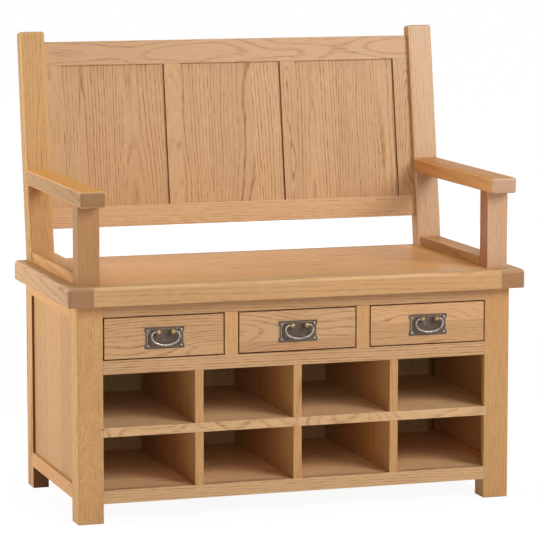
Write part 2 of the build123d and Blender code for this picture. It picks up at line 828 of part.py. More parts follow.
# Handle plate: a sheet with a shallow notch in each short side, a raised field and four domed pins
handle_plane = Plane(origin=(0, base_front, plate_z), x_dir=(1, 0, 0), z_dir=(0, -1, 0))
notch_height = plate_height - 2 * plate_ear_height
with BuildPart() as handle_plate:
    with BuildSketch(handle_plane):
        Rectangle(plate_width, plate_height)
        with Locations((-plate_width / 2, 0), (plate_width / 2, 0)):
            Rectangle(2 * plate_notch, notch_height, mode=Mode.SUBTRACT)
    extrude(amount=plate_thickness)
    chamfer(handle_plate.faces().sort_by(Axis.Y)[0].edges(), plate_chamfer)
    field_width = plate_width - 2 * (plate_notch + plate_field_inset)
    field_height = plate_height - 2 * plate_field_inset
    pin_spacing = (plate_width - 2 * pin_inset, plate_height - 2 * pin_inset)
    with BuildSketch(handle_plane.offset(plate_thickness)):
        Rectangle(field_width, field_height)
        with GridLocations(*pin_spacing, 2, 2):
            Circle(pin_pocket, mode=Mode.SUBTRACT)
    extrude(amount=plate_field_rise, taper=plate_field_bevel)
    with BuildSketch(handle_plane.offset(plate_thickness)):
        with GridLocations(*pin_spacing, 2, 2):
            Circle(pin_radius)
    pins = extrude(amount=pin_height)
    fillet(pins.faces().group_by(Axis.Y)[0].edges(), pin_round)
    for x in row(2, ball_spacing):
        with Locations(Plane(origin=(x, base_front, ball_z), z_dir=(0, -1, 0))):
            Cylinder(
                shank_radius + joint_clearance,
                2 * (plate_thickness + plate_field_rise),
                mode=Mode.SUBTRACT,
            )

# Ball posts: a ball on a neck, bored for the bail, with a shank through the drawer front to a nut
pin_tip = ball_spacing / 2 - ball_radius / 2
with BuildPart() as ball_post:
    with BuildSketch(Plane(origin=(ball_spacing / 2, ball_y, ball_z), x_dir=(1, 0, 0), z_dir=(0, 0, 1))):
        with BuildLine():
            neck_start = (ball_radius ** 2 - ball_neck_radius ** 2) ** 0.5
            shank_end = ball_standoff + plate_thickness + plate_field_rise + drawer_front_thickness
            tip = (0, -ball_radius)
            shoulder = (ball_neck_radius, neck_start)
            ThreePointArc(tip, (ball_radius, 0), shoulder)
            Polyline(
                shoulder,
                (ball_neck_radius, ball_standoff),
                (shank_radius, ball_standoff),
                (shank_radius, shank_end + 2 * nut_thickness),
                (0, shank_end + 2 * nut_thickness),
                tip,
            )
        make_face()
    revolve(axis=Axis((ball_spacing / 2, ball_y, ball_z), (0, 1, 0)))
    with BuildSketch(Plane(origin=(ball_spacing / 2, front_inside, ball_z), z_dir=(0, 1, 0))):
        RegularPolygon(nut_radius, nut_sides)
    extrude(amount=nut_thickness)
    with Locations(Plane(origin=(pin_tip - bail_pin_clearance, ball_y, ball_z), z_dir=(1, 0, 0))):
        Cylinder(
            bail_radius + bail_pin_clearance,
            2 * ball_radius,
            align=(Align.CENTER, Align.CENTER, Align.MIN),
            mode=Mode.SUBTRACT,
        )

with BuildPart() as handle_posts:
    add(ball_post.part)
    mirror(ball_post.part, about=Plane.YZ)

# The bail: a wire bent in tangent arcs, from one ball down round a two-radius oval to the other
bail_rest = bail_half_width - bail_shoulder
flank_centre = bail_half_width - bail_flank
sag_room = bail_drop - bail_shoulder
sag_radius = (flank_centre ** 2 + sag_room ** 2 - bail_flank ** 2) / (2 * (sag_room - bail_flank))
flank_turn = 90 - degrees(atan2(flank_centre, sag_radius - sag_room))
sag_turn = 2 * (90 - flank_turn)
with BuildPart() as bail:
    with BuildLine(Plane(origin=(0, ball_y, ball_z), x_dir=(1, 0, 0), z_dir=(0, -1, 0))) as bail_path:
        left_pin = Line((-pin_tip - bail_pin_clearance, 0), (-bail_rest, 0))
        left_shoulder = JernArc(left_pin @ 1, left_pin % 1, bail_shoulder, 90)
        left_flank = JernArc(left_shoulder @ 1, left_shoulder % 1, bail_flank, flank_turn)
        sag = JernArc(left_flank @ 1, left_flank % 1, sag_radius, sag_turn)
        right_flank = JernArc(sag @ 1, sag % 1, bail_flank, flank_turn)
        right_shoulder = JernArc(right_flank @ 1, right_flank % 1, bail_shoulder, 90)
        Line(right_shoulder @ 1, (pin_tip + bail_pin_clearance, 0))
    with BuildSketch(Plane(origin=bail_path.line @ 0, z_dir=bail_path.line % 0)):
        Circle(bail_radius)
    sweep(path=bail_path.line)

drawer_pieces = {
    "drawer_front": drawer_front,
    "drawer_sides": drawer_sides,
    "drawer_back": drawer_back,
    "drawer_bottom": drawer_bottom,
    "handle_plate": handle_plate,
    "handle_posts": handle_posts,
    "bail": bail,
}
for place, x in zip(("left", "middle", "right"), drawer_x):
    for piece_name, piece in drawer_pieces.items():
        with BuildPart() as placed:
            with Locations((x, 0, 0)):
                add(piece.part)
        save(placed, f"{place}_{piece_name}")
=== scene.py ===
# %% [markdown]
# # An oak hall bench
#
# The bench is a settle: a raked back of three panels in a frame, two open arms over a thick
# seat, three drawers with drop-bail handles and eight cubbies for shoes. Its joinery is already
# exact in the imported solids, so this lesson is about finish: oak that runs the right way in
# every board, dark metal that has been handled, and the light of a plain studio.

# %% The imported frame
import itertools
import math

import bmesh
import bpy
from mathutils import Matrix, Vector


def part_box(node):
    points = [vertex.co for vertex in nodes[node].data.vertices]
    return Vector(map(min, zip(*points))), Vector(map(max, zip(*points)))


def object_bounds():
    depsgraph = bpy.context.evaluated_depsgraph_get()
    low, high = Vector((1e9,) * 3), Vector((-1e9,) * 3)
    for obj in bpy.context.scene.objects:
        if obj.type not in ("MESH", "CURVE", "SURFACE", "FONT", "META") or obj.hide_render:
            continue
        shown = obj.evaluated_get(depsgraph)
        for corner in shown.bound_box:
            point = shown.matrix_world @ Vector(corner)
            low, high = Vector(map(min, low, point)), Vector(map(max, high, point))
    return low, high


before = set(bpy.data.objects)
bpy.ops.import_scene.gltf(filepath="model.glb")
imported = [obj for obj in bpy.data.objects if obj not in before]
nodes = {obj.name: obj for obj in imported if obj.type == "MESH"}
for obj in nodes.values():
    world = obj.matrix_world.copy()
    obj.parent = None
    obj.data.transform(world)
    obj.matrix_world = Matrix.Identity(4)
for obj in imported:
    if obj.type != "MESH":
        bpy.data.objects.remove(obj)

cad_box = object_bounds()
print("bench nodes:", len(nodes), "box:", [tuple(round(v, 3) for v in corner) for corner in cad_box])

# %% [markdown]
# ## The camera
#
# The photograph was taken with a long lens from the front left, a little above the back. A long
# lens stands far off and keeps the rails almost parallel. The values were fitted to measured edges
# of the picture: where the camera stands, how far it is turned to the right and tilted down, and
# its focal length in pixels of the picture.

# %% Camera of the photograph
FRAME_PIXELS = 540
FOCAL_PIXELS = 3039.0
SENSOR_WIDTH = 36.0
CAMERA_PLACE = Vector((-2.0748, -6.4824, 1.4248))
CAMERA_TURN = math.radians(17.88)
CAMERA_TILT = math.radians(-7.71)
FARTHEST_SEEN = 100.0

lens = bpy.data.cameras.new("photo_lens")
lens.sensor_width = SENSOR_WIDTH
lens.lens = lens.sensor_width * FOCAL_PIXELS / FRAME_PIXELS
lens.clip_end = FARTHEST_SEEN
camera = bpy.data.objects.new("photo_camera", lens)
camera.location = CAMERA_PLACE
looking = Vector((
    math.sin(CAMERA_TURN) * math.cos(CAMERA_TILT),
    math.cos(CAMERA_TURN) * math.cos(CAMERA_TILT),
    math.sin(CAMERA_TILT),
))
camera.rotation_euler = looking.to_track_quat("-Z", "Y").to_euler()
bpy.context.scene.collection.objects.link(camera)
bpy.context.scene.camera = camera
bpy.context.scene.view_settings.view_transform = "Standard"
print("lens:", round(lens.lens, 1), "mm, looking along", tuple(round(v, 3) for v in looking))

# %% [markdown]
# ## Small helpers for shader nodes
#
# A finish is a tree of nodes. Wiring one by hand takes three lines a node, so these helpers add a
# node, fill or link its sockets, and hand back the output. What reaches a socket may be a number
# or another node's output.

# %% Sums and ramps


def fill(tree, socket, value):
    """Links an output to a socket, or sets the socket's own value."""
    if isinstance(value, bpy.types.NodeSocket):
        tree.links.new(value, socket)
    else:
        socket.default_value = value


def calc(tree, operation, *values, clamp=False):
    step = tree.nodes.new("ShaderNodeMath")
    step.operation = operation
    step.use_clamp = clamp
    for socket, value in zip(step.inputs, values):
        fill(tree, socket, value)
    return step.outputs[0]


def vector(tree, operation, *values):
    step = tree.nodes.new("ShaderNodeVectorMath")
    step.operation = operation
    for socket, value in zip(step.inputs, values):
        fill(tree, socket, value)
    return step.outputs["Value" if operation in ("DOT_PRODUCT", "LENGTH") else "Vector"]


def ramp(tree, value, low, high, start=0.0, end=1.0):
    """Carries a value smoothly from start to end while it goes from low to high."""
    step = tree.nodes.new("ShaderNodeMapRange")
    step.interpolation_type = "SMOOTHSTEP"
    sockets = ("Value", "From Min", "From Max", "To Min", "To Max")
    for name, number in zip(sockets, (value, low, high, start, end)):
        fill(tree, step.inputs[name], number)
    return step.outputs["Result"]


print("helpers for sums: fill, calc, vector, ramp")

# %% Triples, noise and chance


def split(tree, triple):
    step = tree.nodes.new("ShaderNodeSeparateXYZ")
    fill(tree, step.inputs[0], triple)
    return step.outputs


def join(tree, x, y, z):
    step = tree.nodes.new("ShaderNodeCombineXYZ")
    for socket, value in zip(step.inputs, (x, y, z)):
        fill(tree, socket, value)
    return step.outputs[0]


def noise(tree, place, scales, detail=2.0, rough=0.5):
    """Cloudy noise from 0 to 1, with its own number of clouds to the metre along each axis."""
    step = tree.nodes.new("ShaderNodeTexNoise")
    fill(tree, step.inputs["Vector"], vector(tree, "MULTIPLY", place, scales))
    step.inputs["Scale"].default_value = 1.0
    step.inputs["Detail"].default_value = detail
    step.inputs["Roughness"].default_value = rough
    return step.outputs["Fac"]


def chance(tree, first, second):
    """Three numbers by chance, the same wherever the two given ones are the same."""
    step = tree.nodes.new("ShaderNodeTexWhiteNoise")
    step.noise_dimensions = "2D"
    fill(tree, step.inputs["Vector"], join(tree, first, second, 0.0))
    return split(tree, step.outputs["Color"])


print("helpers for patterns: split, join, noise, chance")

# %% Colours and groups


def blend(tree, amount, first, second, kind="MIX"):
    step = tree.nodes.new("ShaderNodeMix")
    step.data_type = "RGBA"
    step.blend_type = kind
    fill(tree, step.inputs["Factor"], amount)
    fill(tree, step.inputs[6], first)
    fill(tree, step.inputs[7], second)
    return step.outputs[2]


def paint(red, green, blue):
    """A colour as a picture shows it, from 0 to 255, as the linear colour that a shader takes."""
    def linear(level):
        share = level / 255
        return share / 12.92 if share <= 0.04045 else ((share + 0.055) / 1.055) ** 2.4
    return (linear(red), linear(green), linear(blue), 1.0)


def new_group(name, inputs, outputs):
    """An empty shader node group, with its own input and output nodes."""
    tree = bpy.data.node_groups.new(name, "ShaderNodeTree")
    for socket, kind, value in inputs:
        made = tree.interface.new_socket(socket, in_out="INPUT", socket_type=kind)
        made.default_value = value
    for socket, kind in outputs:
        tree.interface.new_socket(socket, in_out="OUTPUT", socket_type=kind)
    return tree, tree.nodes.new("NodeGroupInput").outputs, tree.nodes.new("NodeGroupOutput").inputs


print("white reads", tuple(round(v, 2) for v in paint(255, 255, 255)))

# %% [markdown]
# ## Oak, cut from a log
#
# A board is a cut through a tree, so the grain is made as a solid: rings round a pith that lies
# somewhere below the face, wavering and tapering along the log. Cutting that solid with a flat
# face gives straight lines, cathedral arches or end rings by itself, depending on the face. A
# flat pattern wrapped round each board would be simpler, but it would break at every edge. The
# group's inputs are what one board may have of its own: the width of its staves, where the pith
# lies, how strong the figure, pores and ray flecks are, and its tints. The last three inputs
# paint light and shade: on chosen faces, and a painted highlight on rounded edges.

# %% What a board may have of its own
VECTOR = "NodeSocketVector"
FLOAT = "NodeSocketFloat"
COLOUR = "NodeSocketColor"
OAK_INPUTS = [
    ("Board", VECTOR, (0, 0, 0)),
    ("Grain", VECTOR, (1, 0, 0)),
    ("Seed", FLOAT, 0.0),
    ("Stave Width", FLOAT, 1.0),
    ("Ring Width", FLOAT, 0.006),
    ("Heart", FLOAT, 0.2),
    ("Spread", FLOAT, 0.06),
    ("Waver", FLOAT, 0.006),
    ("Figure", FLOAT, 1.0),
    ("Plain", FLOAT, 0.0),
    ("Pores", FLOAT, 1.0),
    ("Rays", FLOAT, 0.0),
    ("Contrast", FLOAT, 1.0),
    ("Pale", COLOUR, (1, 1, 1, 1)),
    ("Dark", COLOUR, (0, 0, 0, 1)),
    ("End Tint", COLOUR, (0.64, 0.57, 0.60, 1)),
    # The last three inputs paint light and shade on a board: on the faces that look along Side, and on
    # rounded edges, where the default is a painted highlight.
    ("Side", VECTOR, (0, 0, 0)),
    ("Side Shading", COLOUR, (1, 1, 1, 1)),
    ("Edge Tint", COLOUR, (1.16, 1.22, 1.30, 1)),
]
OAK_OUTPUTS = [("Color", COLOUR), ("Roughness", FLOAT), ("Height", FLOAT)]
print("inputs of the oak group:", len(OAK_INPUTS))

# %% [markdown]
# ### Staves and rings
#
# Wide boards are glued from staves. Each stave draws three numbers: the first sets how far its
# pith lies to the side and how pale it is, the second how deep the pith lies, how fast the log
# tapers and how plain the stave may be, and the third its place along the log and how red it is.
# A ring is then a matter of distance from the pith. Oak is ring-porous, so each year starts with
# a dark porous line that fades into dense wood, and some years are stronger than others.

# %% Staves and rings
LEAST_PITH_DEPTH = 0.012
PITH_DEPTH_RANGE = 0.05
LEAST_TAPER = 0.005
TAPER_RANGE = 0.03
LOG_LENGTH = 13.0
RIPPLE = 0.0014


def cut_staves(tree, given):
    """A point's stave, the stave's luck of three numbers, its place in the log and its radius."""
    along, across, through = split(tree, given["Board"])
    stave = calc(tree, "ROUND", calc(tree, "DIVIDE", across, given["Stave Width"]))
    luck = chance(tree, stave, given["Seed"])
    side = calc(tree, "SUBTRACT", across, calc(tree, "MULTIPLY", stave, given["Stave Width"]))
    pith = calc(tree, "MULTIPLY_ADD", calc(tree, "SUBTRACT", luck[0], 0.5), given["Spread"], given["Heart"])
    side = calc(tree, "ADD", side, pith)
    depth = calc(tree, "MULTIPLY_ADD", luck[1], PITH_DEPTH_RANGE, LEAST_PITH_DEPTH)
    depth = calc(tree, "ADD", through, depth)
    square = calc(tree, "MULTIPLY_ADD", side, side, calc(tree, "MULTIPLY", depth, depth))
    taper = calc(tree, "MULTIPLY", along, calc(tree, "MULTIPLY_ADD", luck[1], TAPER_RANGE, LEAST_TAPER))
    radius = calc(tree, "ADD", calc(tree, "SQRT", square), taper)
    place = join(tree, calc(tree, "MULTIPLY_ADD", luck[2], LOG_LENGTH, along), across, through)
    return stave, luck, place, radius


def grow_rings(tree, given, stave, place, radius):
    """1 on the porous line that starts a year, fading to 0 in the dense wood after it."""
    waver = noise(tree, place, (3.0, 9.0, 9.0), 2.0, 0.4)
    ripple = noise(tree, place, (14.0, 40.0, 40.0), 1.0)
    radius = calc(tree, "MULTIPLY_ADD", waver, given["Waver"], radius)
    radius = calc(tree, "MULTIPLY_ADD", ripple, RIPPLE, radius)
    year = calc(tree, "DIVIDE", radius, given["Ring Width"])
    ring = calc(tree, "FRACT", year)
    vigour = chance(tree, calc(tree, "FLOOR", year), calc(tree, "ADD", stave, given["Seed"]))[0]
    porous = calc(tree, "MULTIPLY", ramp(tree, ring, 0.0, 0.10), ramp(tree, ring, 0.10, 0.50, 1.0, 0.0))
    return calc(tree, "MULTIPLY", porous, calc(tree, "MULTIPLY_ADD", vigour, 0.70, 0.35))


print("staves taken from", LOG_LENGTH, "m of log")

# %% [markdown]
# ### Pores, fibre and ray flecks
#
# Up close oak is streaky. Open pores are short dark streaks along the grain, and they break the
# rings into dashes. Between them runs fine fibre with pale specks. Where a face lies along the
# rays of the tree, pale flecks wind over it. All three are noise, drawn out along the grain by
# giving it few clouds to the metre that way and many across.

# %% Pores, fibre and ray flecks


def open_pores(tree, place, porous):
    """Pores, which are denser on the rings, and the rings as the pores break them."""
    streak = noise(tree, place, (34.0, 520.0, 520.0), 2.0, 0.6)
    pores = ramp(tree, streak, 0.42, 0.66)
    porous = calc(tree, "MULTIPLY", porous, calc(tree, "MULTIPLY_ADD", pores, 0.9, 0.55))
    pores = calc(tree, "MULTIPLY", pores, calc(tree, "MULTIPLY_ADD", porous, 0.6, 0.3))
    return pores, porous


def comb_fibre(tree, place, pores):
    """Fine fibre, darker in the pores and paler in its specks."""
    fibre = noise(tree, place, (12.0, 340.0, 340.0), 3.0, 0.65)
    speck = ramp(tree, noise(tree, place, (60.0, 140.0, 140.0), 1.0), 0.6, 0.75)
    fine = calc(tree, "MULTIPLY", calc(tree, "SUBTRACT", fibre, 0.5), 0.42)
    return calc(tree, "MULTIPLY_ADD", speck, -0.08, calc(tree, "MULTIPLY_ADD", pores, 0.32, fine))


def sweep_rays(tree, place):
    """Winding flecks, in patches: the places where a cloudy noise passes its middle value."""
    sweep = calc(tree, "SUBTRACT", noise(tree, place, (40.0, 55.0, 55.0), 2.0), 0.5)
    flecks = ramp(tree, calc(tree, "ABSOLUTE", sweep), 0.0, 0.035, 1.0, 0.0)
    patches = ramp(tree, noise(tree, place, (11.0, 18.0, 18.0)), 0.40, 0.55)
    return calc(tree, "MULTIPLY", flecks, patches)


print("helpers for fine grain: open_pores, comb_fibre, sweep_rays")

# %% [markdown]
# ### Stain
#
# Stain is two colours, a pale and a dark one, and the grain says how much of the dark shows. The
# faces of a board then differ. End grain drinks more stain and its rings are faint. A board may
# carry painted light or painted shade on its left and right faces together, or on its front alone.
# Rounded edges carry a painted highlight, and painted shade on the drawer fronts: they are the
# places where no axis looks straight out of the surface.

# %% Shade and tint of a point
GROUND_SHADE = 0.14
RED_STAVE = (1.0, 0.86, 0.80, 1.0)


def shade_grain(tree, given, luck, place, pores, porous, end_grain):
    """How much of the dark stain shows at a point, from 0 to 1."""
    cloud = noise(tree, place, (2.4, 10.0, 10.0), 2.0)
    shade = calc(tree, "MULTIPLY", porous, calc(tree, "MULTIPLY_ADD", end_grain, -0.40, 0.62))
    shade = calc(tree, "MULTIPLY_ADD", calc(tree, "SUBTRACT", cloud, 0.5), 0.30, shade)
    calm = calc(tree, "SUBTRACT", 1.0, calc(tree, "MULTIPLY", luck[1], given["Plain"]))
    shade = calc(tree, "MULTIPLY", shade, calc(tree, "MULTIPLY", calm, given["Figure"]))
    shade = calc(tree, "MULTIPLY_ADD", comb_fibre(tree, place, pores), given["Pores"], shade)
    rays = calc(tree, "MULTIPLY", sweep_rays(tree, place), given["Rays"])
    return calc(tree, "ADD", calc(tree, "SUBTRACT", shade, rays), GROUND_SHADE, clamp=True)


def stain_stave(tree, given, luck, shade):
    """The stain at a point, a little redder or paler from stave to stave."""
    tint = blend(tree, shade, given["Pale"], given["Dark"])
    redness = calc(tree, "MULTIPLY", calc(tree, "MULTIPLY", luck[2], 0.22), given["Contrast"])
    tint = blend(tree, redness, tint, RED_STAVE, "MULTIPLY")
    swing = calc(tree, "MULTIPLY", calc(tree, "SUBTRACT", luck[0], 0.5), given["Contrast"])
    tone = calc(tree, "MULTIPLY_ADD", swing, 0.10, 0.99)
    return blend(tree, 1.0, tint, join(tree, tone, tone, tone), "MULTIPLY")


def tint_faces(tree, given, facing, end_grain, tint):
    """The stain as end grain changes it, with painted light and shade on chosen sides and rounded edges."""
    tint = blend(tree, end_grain, tint, given["End Tint"], "MULTIPLY")
    lean = split(tree, vector(tree, "ABSOLUTE", facing))
    turned = join(tree, lean[0], split(tree, facing)[1], lean[2])
    one_side = ramp(tree, vector(tree, "DOT_PRODUCT", turned, given["Side"]), 0.6, 0.9)
    tint = blend(tree, one_side, tint, given["Side Shading"], "MULTIPLY")
    # Rounded edges: a painted highlight by default, and painted shade on the drawer fronts.
    flat = calc(tree, "MAXIMUM", calc(tree, "MAXIMUM", lean[0], lean[1]), lean[2])
    rounded = ramp(tree, flat, 0.84, 0.97, 1.0, 0.0)
    return blend(tree, rounded, tint, given["Edge Tint"], "MULTIPLY")


print("helpers for stain: shade_grain, stain_stave, tint_faces")

# %% The oak group


def make_oak_group():
    tree, given, result = new_group("oak_board", OAK_INPUTS, OAK_OUTPUTS)
    stave, luck, place, radius = cut_staves(tree, given)
    pores, porous = open_pores(tree, place, grow_rings(tree, given, stave, place, radius))
    facing = tree.nodes.new("ShaderNodeTexCoord").outputs["Normal"]
    end_grain = calc(tree, "ABSOLUTE", vector(tree, "DOT_PRODUCT", facing, given["Grain"]))
    end_grain = ramp(tree, end_grain, 0.45, 0.80)
    shade = shade_grain(tree, given, luck, place, pores, porous, end_grain)
    tint = stain_stave(tree, given, luck, shade)
    fill(tree, result["Color"], tint_faces(tree, given, facing, end_grain, tint))
    rough = calc(tree, "MULTIPLY_ADD", pores, 0.16, 0.42)
    fill(tree, result["Roughness"], calc(tree, "MULTIPLY_ADD", end_grain, 0.14, rough))
    height = calc(tree, "MULTIPLY_ADD", porous, -0.25, calc(tree, "SUBTRACT", 1.0, pores))
    fill(tree, result["Height"], height)
    return tree


oak_group = make_oak_group()
print("oak group:", len(oak_group.nodes), "nodes")

# %% [markdown]
# ## One finish, many boards
#
# Every board wears stain under a thin satin lacquer, but the grain has to follow its length. A
# Mapping node turns the object's own coordinates into the board's: along the grain, across the
# face and into the wood, measured from the middle of the board. The seed moves each board to
# another place in the tree, so that no two boards match, as in a real pile of timber.

# %% The lacquered oak finish
DARK_SHARE = (0.73, 0.63, 0.52)
LACQUER = 0.3
LACQUER_ROUGHNESS = 0.28
PORE_RELIEF = 0.25
PORE_DEPTH = 0.0006


def oak(name, middle, grain, width, pale, **looks):
    """Lacquered oak with its grain one way and its width another; looks fill the group's inputs."""
    finish = bpy.data.materials.new(name)
    finish.use_nodes = True
    tree = finish.node_tree
    shader = tree.nodes["Principled BSDF"]
    place = tree.nodes.new("ShaderNodeMapping")
    turn = Matrix((grain, width, grain.cross(width)))
    place.inputs["Location"].default_value = Vector((looks["seed"], 0.0, 0.0)) - turn @ middle
    place.inputs["Rotation"].default_value = turn.to_euler()
    tree.links.new(tree.nodes.new("ShaderNodeTexCoord").outputs["Object"], place.inputs["Vector"])
    wood = tree.nodes.new("ShaderNodeGroup")
    wood.node_tree = oak_group
    tree.links.new(place.outputs["Vector"], wood.inputs["Board"])
    wood.inputs["Grain"].default_value = grain
    wood.inputs["Pale"].default_value = paint(*pale)
    wood.inputs["Dark"].default_value = paint(*[level * share for level, share in zip(pale, DARK_SHARE)])
    for look, value in looks.items():
        wood.inputs[look.replace("_", " ").title()].default_value = value
    relief = tree.nodes.new("ShaderNodeBump")
    relief.inputs["Strength"].default_value = PORE_RELIEF
    relief.inputs["Distance"].default_value = PORE_DEPTH
    tree.links.new(wood.outputs["Height"], relief.inputs["Height"])
    tree.links.new(wood.outputs["Color"], shader.inputs["Base Color"])
    tree.links.new(wood.outputs["Roughness"], shader.inputs["Roughness"])
    tree.links.new(relief.outputs["Normal"], shader.inputs["Normal"])
    shader.inputs["Specular IOR Level"].default_value = 0.0
    shader.inputs["Coat Weight"].default_value = LACQUER
    shader.inputs["Coat Roughness"].default_value = LACQUER_ROUGHNESS
    return finish


print("lacquer:", LACQUER, "of a full coat")

# %% Dressing a board
HONEY = (210, 164, 111)
seeds = itertools.count(1.3, 2.7)


def dress(name, finish):
    """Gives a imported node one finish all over."""
    slots = nodes[name].data.materials
    slots.clear()
    slots.append(finish)


def board(name, grain, width, pale=HONEY, shift=0.0, **looks):
    """Dresses a packed board in oak. A shift moves the joints between its staves across it."""
    lowest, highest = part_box(name)
    middle = (lowest + highest) / 2 + width * shift
    dress(name, oak(f"oak_{name}", middle, grain, width, pale, seed=next(seeds), **looks))


def shading_on_sides(red, green, blue, side=(1, 0, 0)):
    """The looks of a board whose side faces carry painted light and shade in a given tint."""
    return {"side": side, "side_shading": (red, green, blue, 1.0)}


print("common stain:", HONEY)

# %% [markdown]
# ## Which way each board runs
#
# Joiners run the grain along the length of every piece: upright in legs, posts and panels, level
# in rails, shelves and drawer fronts, and front to back in the arms and in the cross boards that
# cap the seat's ends. Each line below names a board, its grain, its width, its stain and what is
# special about it. Boards of one bench come from several trees, so the stains differ a little.

# %% Legs, sides and rails of the base
LONG = Vector((1, 0, 0))
DEEP = Vector((0, 1, 0))
TALL = Vector((0, 0, 1))
FRONT = (0, -1, 0)
HANDS = ("left", "right")
BISCUIT = (203, 158, 106)
AMBER = (222, 169, 109)
OAT = (201, 160, 116)
STRAW = (208, 168, 124)
BARLEY = (213, 173, 128)
RAY_FLECKS = (0.5, 0.1)

# Painted light on the side faces of the front legs, and painted shade on the front faces of the rear legs,
# beside the recessed side panels.
painted_light_leg_sides = shading_on_sides(1.16, 1.16, 1.03)
shaded_front = shading_on_sides(0.30, 0.24, 0.16, FRONT)
for hand, rays in zip(HANDS, RAY_FLECKS):
    board(f"front_{hand}_leg", TALL, LONG, BISCUIT, figure=0.3, rays=rays, **painted_light_leg_sides)
    board(f"rear_{hand}_leg", TALL, LONG, **shaded_front)
    board(f"{hand}_side_panel", TALL, DEEP, stave_width=0.12, figure=0.5)
    for level in ("top", "bottom"):
        board(f"{hand}_side_{level}_rail", DEEP, TALL, AMBER, figure=0.3)
board("front_top_rail", LONG, TALL, OAT, figure=0.6)
for name in ("rear_top_rail", "rear_bottom_rail"):
    board(name, LONG, TALL, STRAW, figure=0.6)
board("drawer_rail", LONG, TALL, STRAW, figure=1.2)
board("bottom_rail", LONG, TALL, BARLEY, figure=0.6)
board("drawer_stiles", TALL, LONG, stave_width=0.2, figure=0.5)
print("legs, sides and rails dressed")

# %% Shelves, dividers and hidden boards
# A far paler stain for the shelves: painted light on the cubby floors.
SHELF_WITH_PAINTED_LIGHT = (246, 208, 160)
OLIVE = (210, 181, 133)
UMBER = (196, 165, 114)

# The shelves' fronts are tinted back down, so that only the cubby floors carry the painted light.
front_without_painted_light = shading_on_sides(0.76, 0.72, 0.67, FRONT)
for name in ("middle_shelf", "bottom_shelf"):
    board(name, LONG, DEEP, SHELF_WITH_PAINTED_LIGHT, stave_width=0.09, waver=0.12, **front_without_painted_light)
# Painted light on the dividers' sides, the walls of the cubbies.
painted_light_divider_sides = shading_on_sides(1.22, 1.25, 1.25)
board("shoe_dividers", TALL, DEEP, BISCUIT, stave_width=0.085, figure=0.6, **painted_light_divider_sides)
board("dust_panel", LONG, DEEP, OLIVE, stave_width=0.3)
board("back_board", TALL, LONG, UMBER, figure=0.3)
for name in ("drawer_runners", "drawer_kickers"):
    board(name, DEEP, LONG, STRAW, stave_width=0.08)
print("shelves dressed")

# %% [markdown]
# ### Seat and arms
#
# The seat is a field of glued staves behind a front strip, between two cross boards that show
# their end grain at the front. A pith near the face gives its staves arches. The arms run front to
# back, so their front ends are end grain. In the photograph their sides and ends differ in colour
# from their tops. The ends have tints of their own. The sides carry painted shade, on the right
# armrest painted light, and the left armrest's rounded edges a brighter painted highlight.

# %% Seat
CARAMEL = (210, 166, 116)
SEAT_END_TINT = (0.62, 0.54, 0.53, 1.0)

arched_staves = {"stave_width": 0.098, "ring_width": 0.007, "heart": 0.03, "spread": 0.2, "waver": 0.04}
board("seat_panel", LONG, DEEP, AMBER, figure=0.6, **arched_staves)
board("seat_front_edge", LONG, TALL, CARAMEL, figure=0.6, heart=0.06)
for hand in HANDS:
    board(f"seat_{hand}_end", DEEP, LONG, STRAW, figure=0.6, end_tint=SEAT_END_TINT)
print("seat dressed")

# %% Arms
MARIGOLD = (228, 170, 98)
RUSSET = (206, 147, 88)
TAN = (190, 145, 98)
BLUSH = (206, 166, 132)

# The left armrest: a brown end, a brighter painted highlight on its rounded edges, and painted shade on its
# sides.
brown_end_and_edge_highlight = {"end_tint": (0.47, 0.51, 0.76, 1.0), "edge_tint": (1.20, 1.30, 1.50, 1.0)}
painted_shade_left_arm_sides = shading_on_sides(0.66, 0.76, 1.13)
board("left_armrest", DEEP, LONG, MARIGOLD, figure=0.4, **brown_end_and_edge_highlight, **painted_shade_left_arm_sides)
# The right armrest: a pale end, and painted light on its sides.
pale_end = {"end_tint": (0.96, 1.29, 2.48, 1.0)}
painted_light_right_arm_sides = shading_on_sides(1.43, 1.65, 1.95)
board("right_armrest", DEEP, LONG, RUSSET, figure=0.4, **pale_end, **painted_light_right_arm_sides)
board("left_arm_post", TALL, LONG, TAN, figure=0.4)
# Painted shade on the sides of the right arm post.
painted_shade_arm_post_sides = shading_on_sides(0.76, 0.58, 0.47)
board("right_arm_post", TALL, LONG, BLUSH, figure=0.4, **painted_shade_arm_post_sides)
board("left_arm_rail", DEEP, LONG, AMBER, figure=0.4)
# Painted shade on the sides of the right arm rail.
painted_shade_arm_rail_sides = shading_on_sides(0.74, 0.77, 0.76)
board("right_arm_rail", DEEP, LONG, AMBER, figure=0.4, **painted_shade_arm_rail_sides)
print("arms dressed")

# %% [markdown]
# ## The raked back
#
# The back leans, so the grain of its upright boards follows the rake. In the left post, the crest
# rail and the uprights the pith lies near the face, which draws flames. The four uprights between
# the rails share a node, and staves as wide as their spacing give each a stave of its own. Those
# staves are counted far from the middle, to a place where some are plainer than others. The sides
# of the uprights, which face the panels, carry dark painted shade, the shade of the recess beside
# each panel. The sides of both back posts carry painted shade too.

# %% The back
RAKE = math.radians(9.0)
RAKED = Vector((0, math.sin(RAKE), math.cos(RAKE)))
UPRIGHT_PITCH = 0.28067
UPRIGHT_STAVES = 20.5
GOLD = (217, 171, 114)
ROSY = (217, 181, 144)
FAWN = (209, 170, 130)
WHEAT = (219, 178, 133)
PANEL = (211, 170, 125)

flames = {"heart": 0.0, "spread": 0.05}
# Painted shade on the sides of the left back post.
painted_shade_left_post_sides = shading_on_sides(0.87, 0.89, 0.88)
board("left_back_post", RAKED, LONG, GOLD, figure=0.6, ring_width=0.007, waver=0.09, **flames, **painted_shade_left_post_sides)
